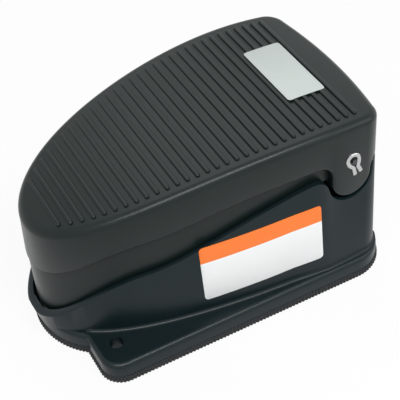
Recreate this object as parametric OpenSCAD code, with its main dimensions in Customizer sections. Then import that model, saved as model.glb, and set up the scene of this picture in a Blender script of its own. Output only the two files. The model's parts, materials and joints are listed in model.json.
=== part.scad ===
// Foot switch: a D-shaped treadle pedal hinged over a flanged base, with a snap-action switch inside.
// X runs from the nose to the hinge, Y across, Z up. The origin is the centre of the footprint.

/* [Plinth] */
// How far the plinth stands out ahead of the pedal
nose_step = 2; // [1.5:0.1:2.4]
// How far the plinth stands out behind the pedal
tail_step = 1; // [0.5:0.1:3]
// How far the plinth stands out past the pedal's sides
side_step = 3.6; // [2.6:0.1:7]
// Height of the flange above the pad
flange_t = 6.5; // [4:0.5:8]
// Thickness of the rubber pad
pad_t = 3; // [2.5:0.5:5]
// How far the pad stands out past the flange
pad_lip = 0.6; // [0.2:0.1:1]
// Radius of the plinth's nose
nose_r = 31; // [28:1:34]
// Distance from the plinth's nose back to its ears
ear_setback = 10.3; // [9:0.1:14]
// Corner radius of the front ears
ear_corner_r = 9; // [5:0.5:12]
// Corner radius of the plinth's rear
rear_corner_r = 16; // [10:1:20]

/* [Mounting holes] */
// Diameter of the holes in the ears
mount_d = 5.5; // [4:0.5:6.5]
// Distance between the two holes
mount_pitch = 63.2; // [61:0.2:66]
// Distance of the holes behind the plinth's nose
mount_setback = 19.6; // [18:0.2:22]

/* [Pedal] */
// Length of the pedal
pedal_l = 135; // [132:0.5:135.5]
// Width of the pedal
pedal_w = 81.2; // [78:0.2:83]
// Wall thickness of the pedal
pedal_wall = 2.6; // [2:0.2:3]
// Radius of the tread's edge
edge_r = 3; // [2:0.5:3.5]
// Radius of the pedal's rear corners in plan
pedal_corner_r = 8.5; // [7:0.5:11]
// Bow of the pedal's rear edge
rear_bow = 2.7; // [1.5:0.1:3]
// Height of the tread at the nose, above the pad
tread_nose_z = 55.4; // [54:0.2:58]
// Height of the tread at the rear, above the pad
tread_rear_z = 73.8; // [73:0.2:78]
// Crown of the tread over its chord
tread_crown = 9.6; // [8:0.2:11]
// Angle that the pedal turns when it is pressed down
stroke = 4.5; // [4:0.1:4.6]

/* [Tread ribs] */
// Distance from rib to rib
rib_pitch = 3.75; // [3:0.05:3.8]
// Width of a rib
rib_w = 1.8; // [1.2:0.1:2.2]
// Height of a rib
rib_h = 0.8; // [0.5:0.1:1.2]
// Distance of the first rib from the nose
rib_start = 9.5; // [9:0.5:11]
// Least distance of the last rib from the pedal's rear
rib_end = 11; // [10.5:0.5:16]
// Smooth border between the rib ends and the pedal's side
rib_margin = 4.9; // [4:0.1:7]

/* [Side lines] */
// Height of the pedal's lip at the nose, above the pad
lip_low_z = 34; // [32:0.5:36]
// Height of the pedal's lip at the rear
lip_high_z = 60.2; // [59:0.2:61]
// Height of the base's rim at the nose
rim_low_z = 11.5; // [10:0.5:13]
// Height of the base's rim ahead of the hinge
rim_high_z = 53.5; // [52:0.5:54]
// Height of the base's rim at the rear
rear_rim_z = 53.4; // [53:0.1:54]
// How far the pedal's skirt hangs below the base's rim
skirt_lap = 3; // [2:0.5:4]
// Radius of the pedal's ear below the hinge pin
ear_r = 9; // [8.6:0.1:9.5]
// Distance from the pin down to the centre of the ear
ear_drop = 8.1; // [7.6:0.1:8.4]
// Radius of the lip where it turns down into the ear
ear_front_r = 6.8; // [5:0.2:7]
// Gap between the ear and the base
ear_gap = 1.6; // [1.2:0.1:2]
// Radius of the rim where it turns down to the ear
rim_corner_r = 5.6; // [4:0.2:6]

/* [Hinge] */
// Diameter of the hinge pin
pin_d = 5; // [4:0.2:6]
// Distance of the pin ahead of the pedal's rear
pin_setback = 16.9; // [16:0.1:18]
// Height of the pin above the pad
pin_z = 58.1; // [57:0.1:59]
// Diameter of the groove for the clip
neck_d = 2.6; // [2:0.1:3.2]
// Thickness of a clip
clip_t = 1; // [0.8:0.1:1.4]
// Width of a clip
clip_w = 7; // [6:0.2:8]
// Height of a clip
clip_h = 11; // [9.5:0.5:12]
// Outer diameter of a hinge bush
bush_d = 8; // [7:0.5:9]
// Flange diameter of a hinge bush
bush_flange_d = 11.5; // [10:0.5:13]
// Thickness of a hinge lug
lug_t = 5; // [4:0.5:6]
// Radius of a hinge lug round the pin
lug_r = 7; // [6.5:0.5:7.5]
// Thickness of a bush's flange
bush_flange_t = 1; // [0.8:0.1:1.2]

/* [Housing] */
// Wall thickness of the housing
wall = 2.2; // [1.8:0.1:2.4]
// How far the housing's wall lies inside the pedal's outline
body_inset = 0.8; // [0.4:0.1:1]
// Thickness of the bottom plate
plate_t = 1.5; // [1.2:0.1:2]
// Diameter of the bottom plate's screws
plate_screw_d = 3.9; // [3:0.1:4.2]
// Height of the screw bosses above the plate
boss_h = 12; // [9:1:14]
// Diameter of the screw bosses
boss_d = 8.4; // [7.6:0.2:9]
// Gap between a front boss and the bumper behind it
boss_gap = 5.8; // [5:0.2:7]
// How far a boss runs into the wall or lug beside it
boss_sink = 1; // [0.6:0.1:1.4]
// Diameter of the holes in the pad that lead to the screws
access_d = 9.4; // [8.6:0.2:10]

/* [Cord inlet] */
// Clear diameter of the inlet bushing
inlet_d = 12; // [9:0.5:13]
// Diameter of the bushing's barrel
inlet_barrel_d = 20; // [18:0.5:21]
// Diameter of the bushing's flange
inlet_flange_d = 25; // [23:0.5:26]
// Height of the inlet above the pad
inlet_z = 21; // [20:0.5:26]
// Length of the bushing's barrel
inlet_l = 8; // [7:0.5:10]
// Thickness of the bushing's flange
inlet_flange_t = 1; // [0.6:0.1:1.3]

/* [Return spring] */
// Distance of the spring behind the pedal's nose
spring_x = 32; // [31:0.5:34]
// Mean diameter of the coils
coil_d = 17; // [15:0.5:18]
// Wire diameter
wire_d = 1.8; // [1.4:0.1:2]
// Number of coils
coil_count = 10; // [7:1:11]
// Height of the spring's seat in the pedal, above the pad
spring_seat_z = 55; // [52:0.5:57]
// Wall thickness of the cup round the spring
cup_wall = 2; // [1.6:0.1:2.4]
// Thickness of the guide's flange under the spring
guide_flange_t = 2; // [1.6:0.1:2.6]
// Diameter of the pegs that locate the guide and the bumpers
guide_peg_d = 6; // [5:0.5:7]

/* [Stops] */
// Gap between a bumper and the switch's bracket
stop_gap = 6.8; // [6:0.2:8]
// Gap between a bumper and the housing's wall
stop_margin = 3.9; // [3.4:0.1:6]
// Diameter of a bumper
bumper_d = 12; // [9:0.5:12]
// Height of a bumper
bumper_h = 18; // [12:1:20]
// Diameter of the pedal's stop posts
post_d = 8; // [6:0.5:9]

/* [Snap switch] */
// How far the switch sits ahead of the middle between the spring and the inlet
sw_shift = 2.5; // [2:0.1:3]
// Height of the switch above the bottom plate
sw_lift = 5.5; // [5:0.1:5.8]
// Length of the switch case
sw_l = 49.2; // [48:0.2:50]
// Height of the switch case
sw_h = 24.2; // [23.8:0.2:26]
// Thickness of the switch with its cover
sw_t = 17.4; // [16:0.2:18]
// Thickness of the cover
cover_t = 2; // [1.5:0.1:2.4]
// Thickness of the case's end walls and roof
case_wall = 3; // [2.6:0.1:3.2]
// Height of the case's floor under the contacts
case_floor = 10; // [9.8:0.1:10.4]
// Distance of the switch's mounting screws from its notches
sw_hole_margin = 3.7; // [3.4:0.1:4]
// Diameter of the switch's mounting screws
sw_screw_d = 4; // [3:0.1:4.1]
// Thickness of the terminals
terminal_t = 0.9; // [0.7:0.1:1]
// Thickness of the contact blade
blade_t = 0.4; // [0.3:0.1:0.5]
// Distance of the contacts behind the plunger
contact_back = 8; // [7.5:0.1:8.2]
// Diameter of the contacts
contact_d = 4; // [3:0.2:4.2]
// Thickness of a contact
contact_t = 0.8; // [0.6:0.1:0.9]
// Diameter of the plunger's stem
stem_d = 3; // [2.4:0.2:3.2]
// Diameter of the terminal screws
terminal_screw_d = 3; // [2.6:0.2:3.2]
// Length of the terminal screws under the head
terminal_screw_l = 2; // [1.6:0.1:2.4]
// Thickness of the bracket
bracket_t = 1.6; // [1.2:0.1:2]
// Diameter of the bracket's screws and the earth screw
bracket_screw_d = 3.9; // [3:0.1:4]
// Thickness of the earth screw's washer
washer_t = 1; // [0.6:0.1:1.2]

/* [Lever] */
// Length of the lever from its pivot to the roller
lever_l = 39; // [38:0.5:39.5]
// Thickness of the lever
lever_t = 0.9; // [0.7:0.1:1.1]
// Width of the lever
lever_w = 7.4; // [7:0.1:8]
// Angle that the lever rises at, at rest
lever_rise = 7.5; // [7.2:0.1:9]
// Diameter of the lever's pin
lever_pin_d = 2; // [1.6:0.1:2.2]
// Wall of the case's ears round the lever's barrel
pivot_wall = 1; // [0.8:0.1:1.2]
// Diameter of the roller
roller_d = 9.5; // [8:0.5:10]
// Width of the roller
roller_w = 4.6; // [4:0.1:4.8]
// Distance of the roller's centre above the lever
roller_up = 6; // [5.8:0.1:7]
// Diameter of the striker screw in the pedal
striker_d = 5; // [4:0.5:6]

/* [Clearances] */
// Gap between parts that move past each other
move_gap = 0.3; // [0.3:0.05:0.4]
// Gap between the skirt and the housing
skirt_gap = 0.5; // [0.4:0.1:0.7]
// Radial clearance of a shaft that turns
run_fit = 0.05; // [0.02:0.01:0.08]
// Clearance of a part that is seated
seat_fit = 0.03; // [0.02:0.01:0.06]

/* [Hidden] */
$fn = 48;
moulded = "#2f393c";
rubber = "#1d1f20";
steel = "#b9bdc0";
brass = "#c8a24a";
nylon = "#e4e0d2";
phenolic = "#3b2a22";
over = 1;
plinth_l = nose_step + pedal_l + tail_step;
plinth_w = pedal_w + 2 * side_step;

// Plan of the pedal: its half width as a share, along its length as a share
plan_shares = [1.944, -2.017, 2.099, -1.083];
side_n = 18;
corner_n = 5;
rear_n = 4;
edge_n = 4;
curve_n = 8;
arc_n = 8;
function half_share(u) = sqrt(u) * (plan_shares * [1, u, u * u, u * u * u]);
function half_w(x) = half_share(x / pedal_l) * pedal_w / 2;
corner_x = pedal_l - rear_bow - pedal_corner_r;
corner_y = half_w(corner_x) - pedal_corner_r;
function arc(cx, cy, r, from, to, n) = [for (i = [0 : n]) let (a = from + (to - from) * i / n)
    [cx + r * cos(a), cy + r * sin(a)]];
pedal_half = concat(
    [for (i = [0 : side_n]) let (x = corner_x * pow(i / side_n, 2)) [x, half_w(x)]],
    [for (p = arc(corner_x, corner_y, pedal_corner_r, 90, 0, corner_n)) if (p[0] > corner_x + seat_fit) p],
    [for (i = [1 : rear_n]) let (k = 1 - i / rear_n) [pedal_l - rear_bow * k * k, corner_y * k]]);
function mirrored(half) = concat([for (p = half) [p[0], -p[1]]],
    [for (i = [len(half) - 2 : -1 : 1]) half[i]]);
pedal_plan = mirrored(pedal_half);

// An outline moved inwards along its own normals
function left_of(t) = [-t[1], t[0]] / norm(t);
function inset(points, d) = let (n = len(points)) [for (i = [0 : n - 1])
    points[i] + d * left_of(points[(i + 1) % n] - points[(i + n - 1) % n])];

// A layer at depth d inside the pedal's outline: at the nose it leans out to meet the plinth
nose_reach_share = 0.017;
nose_blend_share = 0.33;
function layer(d) = [for (p = inset(pedal_plan, d))
    let (k = max(0, 1 - p[0] / (nose_blend_share * pedal_l)))
    [p[0] - nose_reach_share * pedal_l * k * k, p[1]]];

// Outline of the plinth, drawn in by d
function plinth_plan(d) = let (
    front = ear_setback - nose_step + d,
    reach = acos((nose_r - nose_step - front) / (nose_r - d)),
    side = plinth_w / 2,
    half = concat(
        arc(nose_r - nose_step, 0, nose_r - d, 180, 180 - reach, arc_n),
        arc(front - d + ear_corner_r, side - ear_corner_r, ear_corner_r - d, 180, 90, arc_n),
        arc(plinth_l - nose_step - rear_corner_r, side - rear_corner_r, rear_corner_r - d, 90, 0, arc_n)))
    concat([for (p = half) [p[0], -p[1]]], [for (i = [len(half) - 1 : -1 : 1]) half[i]]);

// Side view: the tread, the lip and the rim, as heights over the pad
function tread_z(x) = let (u = x / pedal_l)
    tread_nose_z + (tread_rear_z - tread_nose_z) * u + tread_crown * 4 * u * (1 - u);
function tread_slope(x) =
    atan(((tread_rear_z - tread_nose_z) + tread_crown * 4 * (1 - 2 * x / pedal_l)) / pedal_l);
function bezier(p, i, t) = pow(1 - t, 3) * p[i] + 3 * t * pow(1 - t, 2) * p[i + 1]
    + 3 * t * t * (1 - t) * p[i + 2] + pow(t, 3) * p[i + 3];
function smooth(p) = [for (s = [0, 3]) for (i = [(s == 0 ? 0 : 1) : curve_n]) bezier(p, s, i / curve_n)];
// Shares of the run from the nose to the ear, and of the rise from the low end to the high one
lip_shares = [[0, 0], [0.078, 0.153], [0.176, 0.536], [0.352, 0.651], [0.528, 0.766], [0.626, 0.996],
    [0.938, 1]];
rim_shares = [[-0.02, 0], [0.058, 0.131], [0.158, 0.464], [0.334, 0.536], [0.51, 0.607], [0.648, 0.857],
    [0.991, 1]];
function spread(shares, run, low, high) = [for (s = shares) [s[0] * run, low + s[1] * (high - low)]];
pin_x = pedal_l - pin_setback;
ear_z = pin_z - ear_drop;
clear_r = ear_r + ear_gap;
lip_run = pin_x - ear_r - ear_front_r;
rim_run = pin_x - clear_r - rim_corner_r;
lip_line = smooth(spread(lip_shares, lip_run, lip_low_z, lip_high_z));
rim_line = smooth(spread(rim_shares, rim_run, rim_low_z, rim_high_z));

rear_edge_z = rear_rim_z + move_gap;
top_z = 2 * tread_rear_z;
pedal_edge = concat([[-over, lip_low_z]], lip_line,
    arc(lip_run, lip_high_z - ear_front_r, ear_front_r, 90, 0, arc_n),
    arc(pin_x, ear_z, ear_r, 180, 360, 2 * arc_n),
    arc(pin_x + ear_r + rear_edge_z - ear_z, ear_z, rear_edge_z - ear_z, 180, 90, arc_n),
    [[pedal_l + over, rear_edge_z]]);
clear_start = 10;
rear_curve_r = rear_edge_z - ear_z - ear_gap;
base_edge = concat([[-nose_step - over, rim_low_z]], rim_line,
    arc(rim_run, rim_high_z - rim_corner_r, rim_corner_r, 90, 0, arc_n),
    arc(pin_x, ear_z, clear_r, 180 + clear_start, 360 - clear_start, 2 * arc_n),
    arc(pin_x + clear_r + rear_curve_r, ear_z, rear_curve_r, 180, 90, arc_n),
    [[pin_x + clear_r + rear_curve_r + ear_gap, rear_rim_z], [pedal_l + over, rear_rim_z]]);

// Layers from the pedal's outline inwards
hollow_inset = body_inset + wall;
skirt_inset = hollow_inset + skirt_gap;
cavity_inset = skirt_inset + wall;
ear_face_y = half_w(pin_x + lug_r) - cavity_inset - skirt_gap;
lug_y = ear_face_y - move_gap - lug_t;
skirt_side = concat([for (p = rim_line) p - [0, skirt_lap]],
    [[pin_x, rim_high_z - skirt_lap], [pin_x, lip_high_z]],
    [for (i = [len(lip_line) - 1 : -1 : 0]) lip_line[i] + [0, pedal_wall / 2]]);
inlet_pad_x = pedal_l - body_inset + move_gap;
guide_flange_d = coil_d + 2.5 * wire_d;
notch_l = sw_l / 6;
sw_pitch = sw_l - 2 * notch_l - 2 * sw_hole_margin;
sw_x = (spring_x + guide_flange_d / 2 + inlet_pad_x - inlet_l - notch_l) / 2 - sw_shift;
bracket_l = 0.7 * sw_l;
stop_x = sw_x - bracket_l / 2 - stop_gap - bumper_d / 2;
stop_y = half_w(stop_x) - hollow_inset - bumper_d / 2 - stop_margin;
front_boss_x = stop_x - bumper_d / 2 - boss_gap - boss_d / 2;

// Children drawn in the XZ plane, extruded from y0 to y1
module along_y(y0, y1) translate([0, y1, 0]) rotate([90, 0, 0]) linear_extrude(y1 - y0) children();
module rod_y(d, x, z, y0, y1) translate([x, y1, z]) rotate([90, 0, 0]) cylinder(d = d, h = y1 - y0);
module across(points) along_y(-plinth_w, plinth_w) polygon(points);
module upright(points, z0, z1) translate([0, 0, z0]) linear_extrude(z1 - z0) polygon(points);
module post(x, y, z0, z1, d) translate([x, y, z0]) cylinder(d = d, h = z1 - z0);
module both_sides() { children(); mirror([0, 1, 0]) children(); }
module placed() translate([nose_step - plinth_l / 2, 0, pad_t]) children();

rib_count = floor((pedal_l - rib_start - rib_end) / rib_pitch) + 1;
// The two triangles between points a and b of one ring and those of the next, n points on
function halves(a, b, n) = [[a, a + n, b + n], [a, b + n, b]];
// The pedal's skin: rings of its plan that close over a rounded edge into a crowned tread
module pedal_skin() {
    m = len(pedal_half) - 1;
    n = 2 * m;
    steps = [for (i = [0 : edge_n]) let (a = 90 * i / edge_n)
        [edge_r * (1 - cos(a)), edge_r * (1 - sin(a))]];
    points = concat([for (p = pedal_plan) [p[0], p[1], 0]],
        [for (s = steps) for (p = inset(pedal_plan, s[0])) [p[0], p[1], tread_z(p[0]) - s[1]]]);
    last = n * (edge_n + 1);
    faces = concat([[for (i = [0 : n - 1]) i]],
        [for (k = [0 : edge_n]) for (i = [0 : n - 1]) for (t = halves(k * n + i, k * n + (i + 1) % n, n)) t],
        [for (i = [1 : m - 2]) for (t = [[i, n - i, n - i - 1], [i, n - i - 1, i + 1]])
            [last, last, last] + t],
        [[last, last + n - 1, last + 1], [last + m - 1, last + m + 1, last + m]]);
    polyhedron(points, faces);
}
module tread_rib(x) {
    reach = half_w(x) - rib_margin - rib_w / 2;
    translate([x, 0, tread_z(x)]) rotate([0, -tread_slope(x), 0]) translate([0, 0, -rib_h])
        linear_extrude(2 * rib_h) {
            square([rib_w, 2 * reach], center = true);
            for (side = [-1, 1]) translate([0, side * reach]) circle(d = rib_w);
        }
}
spring_cup_d = coil_d + 2 * wire_d;
post_z = plate_t + bumper_h + move_gap + (pin_x - stop_x) * sin(stroke);
module under_posts() intersection() {
    union() {
        post(spring_x, 0, spring_seat_z - coil_d, top_z, spring_cup_d + 2 * cup_wall);
        post(striker_x, 0, striker_nut_z + nut_t, top_z, 2 * striker_d);
        both_sides() post(stop_x, stop_y, post_z, top_z, post_d);
        translate([stop_x - cup_wall / 2, -plinth_w / 2, spring_seat_z - coil_d / 2])
            cube([cup_wall, plinth_w, top_z]);
    }
    upright(layer(skirt_inset + wall / 2), 0, top_z);
    across(under_roof([[-over, 0], [pedal_l + over, 0]], pedal_wall / 2));
}
module pedal() color(moulded) placed() difference() {
    union() {
        difference() {
            union() {
                intersection() {
                    pedal_skin();
                    across(concat(pedal_edge, [[pedal_l + over, top_z], [-over, top_z]]));
                }
                intersection() {
                    upright(layer(skirt_inset), 0, top_z);
                    across(skirt_side);
                }
                for (i = [0 : rib_count - 1]) tread_rib(rib_start + i * rib_pitch);
            }
            pedal_hollow(layer(cavity_inset), [[-over, -over], [pedal_l + over, -over]]);
            pedal_hollow(inset(pedal_plan, pedal_wall), concat([for (p = lip_line) p + [0, pedal_wall]],
                [[pedal_l + over, lip_high_z + pedal_wall]]));
        }
        under_posts();
    }
    post(spring_x, 0, spring_seat_z - coil_d - over, spring_seat_z, spring_cup_d);
    post(striker_x, 0, 0, tread_z(striker_x) - 2 * pedal_wall, striker_d + 2 * seat_fit);
    rod_y(pin_d + 2 * seat_fit, pin_x, pin_z, -plinth_w, plinth_w);
}
// Side view of the space between a lower line and the tread drawn down by t
function under_roof(lower, t) = concat(lower, [for (i = [2 * curve_n : -1 : 0])
    let (x = (pedal_l + over) * i / (2 * curve_n)) [x, tread_z(x) - t]], [[-over, tread_nose_z - t]]);
module pedal_hollow(plan, lower) intersection() {
    upright(plan, -over, top_z);
    across(under_roof(lower, pedal_wall));
}

// Hinge
clip_y = pedal_w / 2 + move_gap;
pin_end_y = clip_y + 2 * clip_t;
module hinge_pin() color(steel) placed() {
    rod_y(pin_d, pin_x, pin_z, -clip_y + seat_fit, clip_y - seat_fit);
    both_sides() {
        rod_y(neck_d, pin_x, pin_z, clip_y - seat_fit, pin_end_y);
        rod_y(pin_d, pin_x, pin_z, clip_y + clip_t + seat_fit, pin_end_y);
    }
}
module pin_clips() color(steel) placed() both_sides()
    along_y(clip_y, clip_y + clip_t) translate([pin_x, pin_z]) difference() {
        union() {
            circle(d = clip_w);
            translate([-clip_w / 2, clip_w / 2 - clip_h]) square([clip_w, clip_h - clip_w / 2]);
            polygon([[-clip_w / 2, clip_w - clip_h], [-clip_w * 0.6, clip_w / 2 - clip_h],
                [clip_w * 0.6, clip_w / 2 - clip_h], [clip_w / 2, clip_w - clip_h]]);
        }
        circle(d = neck_d + 2 * seat_fit);
        translate([-neck_d / 2 - seat_fit, -clip_h]) square([neck_d + 2 * seat_fit, clip_h]);
    }
module hinge_bushes() color(nylon) placed() both_sides() difference() {
    union() {
        rod_y(bush_d, pin_x, pin_z, lug_y - bush_flange_t, lug_y + lug_t);
        rod_y(bush_flange_d, pin_x, pin_z, lug_y - bush_flange_t, lug_y);
    }
    rod_y(pin_d + 2 * run_fit, pin_x, pin_z, 0, plinth_w);
}

// Base
plate_inset = (body_inset + hollow_inset) / 2;
function wall_boss_y(x) = half_w(x) - hollow_inset - boss_d / 2;
boss_places = [for (side = [-1, 1]) for (p = [[front_boss_x, wall_boss_y(front_boss_x)],
    [sw_x, wall_boss_y(sw_x)], [pin_x, lug_y - boss_d / 2 + boss_sink]]) [p[0], side * p[1]]];
ledge_drop = 2;
mount_x = mount_setback - nose_step;
module hinge_lugs() both_sides() {
    along_y(lug_y, lug_y + lug_t) {
        translate([pin_x, pin_z]) circle(r = lug_r);
        polygon([[pin_x - lug_r, pin_z], [pin_x - 1.6 * lug_r, plate_t], [pin_x + lug_r, plate_t],
            [pin_x + lug_r, pin_z]]);
    }
    translate([pin_x - lug_r, lug_y, plate_t])
        cube([2 * lug_r, pedal_w / 2 - lug_y, ear_z - clear_r - ledge_drop - plate_t]);
}
module inner_bosses() {
    for (p = boss_places) post(p[0], p[1], plate_t, plate_t + boss_h, boss_d);
    both_sides() translate([sw_x - wall, wall_boss_y(sw_x), plate_t])
        cube([2 * wall, boss_d / 2 + hollow_inset, boss_h]);
    translate([inlet_pad_x, 0, inlet_z]) rotate([0, -90, 0]) cylinder(d = inlet_flange_d, h = inlet_l);
    hinge_lugs();
}
module base_housing() color(moulded) placed() difference() {
    union() {
        difference() {
            union() {
                upright(plinth_plan(pad_lip), 0, flange_t);
                intersection() {
                    upright(layer(body_inset), 0, rim_high_z + over);
                    across(concat(base_edge, [[pedal_l + over, 0], [-nose_step - over, 0]]));
                }
                translate([inlet_pad_x, 0, inlet_z]) rotate([0, -90, 0])
                    cylinder(d = inlet_flange_d, h = wall);
            }
            upright(layer(hollow_inset), -over, top_z);
        }
        intersection() {
            inner_bosses();
            upright(layer(plate_inset), 0, top_z);
        }
    }
    upright(layer(plate_inset - seat_fit), -over, plate_t);
    for (p = boss_places) post(p[0], p[1], 0, plate_t + boss_h - boss_sink, plate_screw_d + 2 * seat_fit);
    both_sides() post(mount_x, mount_pitch / 2, -over, flange_t + over, mount_d);
    rod_y(bush_d + 2 * seat_fit, pin_x, pin_z, -plinth_w, plinth_w);
    translate([pedal_l, 0, inlet_z]) rotate([0, -90, 0])
        cylinder(d = inlet_barrel_d + 2 * seat_fit, h = 2 * inlet_l);
}
module rubber_pad() color(rubber) placed() difference() {
    upright(plinth_plan(0), -pad_t, 0);
    both_sides() post(mount_x, mount_pitch / 2, -pad_t - over, over, mount_d);
    for (p = boss_places) post(p[0], p[1], -pad_t - over, over, access_d);
}
bracket_h = 0.8 * sw_h;
foot_x = [sw_x - bracket_l / 4, sw_x + bracket_l / 4];
foot_y = sw_t / 2 + bracket_t + 2 * bracket_screw_d;
ground_place = [pin_x - boss_d, -lug_y / 2];
module bottom_plate() color(steel) placed() difference() {
    upright(layer(plate_inset), 0, plate_t);
    for (p = boss_places) post(p[0], p[1], -over, plate_t + over, plate_screw_d + 2 * seat_fit);
    for (x = foot_x) post(x, foot_y, -over, plate_t + over, bracket_screw_d + 2 * seat_fit);
    post(ground_place[0], ground_place[1], -over, plate_t + over, bracket_screw_d + 2 * seat_fit);
    post(spring_x, 0, -over, plate_t + over, guide_peg_d + 2 * seat_fit);
    both_sides() post(stop_x, stop_y, -over, plate_t + over, guide_peg_d + 2 * seat_fit);
}
// A screw along Z with its head's underside at the origin and its shank below
module screw(d, l) {
    translate([0, 0, -l]) cylinder(d = d, h = l);
    difference() {
        cylinder(d = 1.9 * d, h = 0.55 * d);
        translate([0, 0, 0.3 * d]) for (a = [0, 90]) rotate(a)
            translate([-0.6 * d, -0.1 * d, 0]) cube([1.2 * d, 0.2 * d, d]);
    }
}
module plate_screws() color(steel) placed() for (p = boss_places)
    translate([p[0], p[1], 0]) rotate([180, 0, 0]) screw(plate_screw_d, plate_t + boss_h - 2 * boss_sink);
module inlet_bushing() color(rubber) placed()
    translate([inlet_pad_x + inlet_flange_t, 0, inlet_z]) rotate([0, -90, 0]) difference() {
        union() {
            cylinder(d = inlet_barrel_d, h = inlet_l + inlet_flange_t);
            cylinder(d = inlet_flange_d, h = inlet_flange_t);
        }
        translate([0, 0, -over]) cylinder(d = inlet_d, h = inlet_l + inlet_flange_t + 2 * over);
    }
module ground_screw() color("#3f8f4f") placed() translate([ground_place[0], ground_place[1], plate_t])
    union() {
        translate([0, 0, -plate_t]) cylinder(d = bracket_screw_d, h = plate_t);
        cylinder(d = 3 * bracket_screw_d, h = washer_t);
        linear_extrude(bracket_screw_d) circle(d = 2.2 * bracket_screw_d, $fn = 6);
    }

// Return spring on its guide
guide_post_d = coil_d - 2 * wire_d;
guide_post_h = 0.6 * coil_d;
spring_low = plate_t + guide_flange_t + move_gap;
spring_high = spring_seat_z - move_gap;
coil_rings = 8;
wire_sides = 6;
end_pitch = 1.45 * wire_d;
coil_steps = coil_count * coil_rings;
function coil_height(t) = let (
    low = spring_low + wire_d / 2, high = spring_high - wire_d / 2,
    free = (high - low - 2 * end_pitch) / (coil_count - 2))
    t < 1 ? low + t * end_pitch : t > coil_count - 1 ? high - (coil_count - t) * end_pitch
        : low + end_pitch + (t - 1) * free;
function coil_point(i) = let (t = i / coil_rings)
    [coil_d / 2 * cos(360 * t), coil_d / 2 * sin(360 * t), coil_height(t)];
coil_path = [for (i = [0 : coil_steps]) coil_point(i)];
least_gap = min([for (i = [0 : coil_steps - coil_rings + 1]) for (j = [i + coil_rings - 1 : coil_steps])
    norm(coil_path[i] - coil_path[j])]) - wire_d;
echo(spring_gap = least_gap);
module return_spring() color(steel) placed() translate([spring_x, 0, 0]) {
    points = [for (i = [0 : coil_steps]) let (
            out = [cos(360 * i / coil_rings), sin(360 * i / coil_rings), 0],
            ahead = coil_path[min(i + 1, coil_steps)] - coil_path[max(i - 1, 0)],
            up = cross(ahead, out) / norm(cross(ahead, out)))
        for (s = [0 : wire_sides - 1]) let (a = 360 * s / wire_sides)
            coil_path[i] + wire_d / 2 * (cos(a) * out - sin(a) * up)];
    faces = concat([[for (s = [0 : wire_sides - 1]) s]],
        [[for (s = [wire_sides - 1 : -1 : 0]) coil_steps * wire_sides + s]],
        [for (i = [0 : coil_steps - 1]) for (s = [0 : wire_sides - 1])
            for (t = halves(i * wire_sides + s, i * wire_sides + (s + 1) % wire_sides, wire_sides)) t]);
    polyhedron(points, faces);
}
module spring_guide() color(nylon) placed() {
    post(spring_x, 0, 0, plate_t, guide_peg_d);
    post(spring_x, 0, plate_t, plate_t + guide_flange_t, guide_flange_d);
    post(spring_x, 0, plate_t, plate_t + guide_flange_t + guide_post_h, guide_post_d);
}
module stop_bumpers() color(rubber) placed() both_sides() {
    post(stop_x, stop_y, 0, plate_t, guide_peg_d);
    post(stop_x, stop_y, plate_t, plate_t + bumper_h, bumper_d);
}

// Snap switch: heights from the plate up
sw_z = plate_t + sw_lift;
sw_top = sw_z + sw_h;
sw_left = sw_x - sw_l / 2;
notch_h = case_floor - case_wall;
floor_z = sw_z + case_floor;
case_y0 = cover_t - sw_t / 2;
sw_hole_z = sw_z + 0.2 * sw_h;
terminal_w = sw_t / 2;
pivot_x = sw_left + sw_l - 1.2 * case_wall;
barrel_d = 2 * lever_pin_d;
pivot_z = sw_top + barrel_d / 2 + move_gap;
plunger_arm = 0.36 * lever_l;
plunger_x = pivot_x - plunger_arm;
anchor_x = sw_left + notch_l - terminal_t;
contact_x = plunger_x + contact_back;
blade_swing = 4.1;
contact_sweep = (contact_x - anchor_x + contact_d / 2) * sin(blade_swing);
open_z = floor_z + move_gap;
blade_z = open_z + terminal_t + 2 * contact_t + move_gap + contact_sweep;
module sw_holes(d) for (side = [-1, 1]) rod_y(d, sw_x + side * sw_pitch / 2, sw_hole_z, -plinth_w, plinth_w);
module sw_body(y0, y1) along_y(y0, y1) difference() {
    translate([sw_left, sw_z]) square([sw_l, sw_h]);
    for (x = [sw_left - over, sw_left + sw_l - notch_l]) translate([x, sw_z - over])
        square([notch_l + over, notch_h + over]);
}
module lever_ears() for (y = [-lever_w / 2 - move_gap - wall, lever_w / 2 + move_gap]) along_y(y, y + wall) {
    translate([pivot_x, pivot_z]) circle(d = barrel_d + 2 * pivot_wall);
    translate([pivot_x - barrel_d / 2 - pivot_wall, sw_top - over])
        square([barrel_d + 2 * pivot_wall, barrel_d / 2 + over]);
}
module switch_case() color(phenolic) placed() difference() {
    union() {
        sw_body(case_y0, sw_t / 2);
        intersection() {
            lever_ears();
            translate([0, case_y0, 0]) cube([pedal_l, sw_t / 2 - case_y0, top_z]);
        }
    }
    translate([sw_left + case_wall, case_y0 - over, floor_z])
        cube([sw_l - 2 * case_wall, sw_t - cover_t - case_wall + over, sw_h - case_floor - case_wall]);
    post(plunger_x, 0, floor_z, top_z, stem_d + 2 * run_fit);
    terminal_slots(seat_fit);
    sw_holes(sw_screw_d + 2 * seat_fit);
    rod_y(lever_pin_d + 2 * seat_fit, pivot_x, pivot_z, -plinth_w, plinth_w);
}
module switch_cover() color(phenolic) placed() difference() {
    sw_body(-sw_t / 2, case_y0);
    sw_holes(sw_screw_d + 2 * seat_fit);
}
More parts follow.
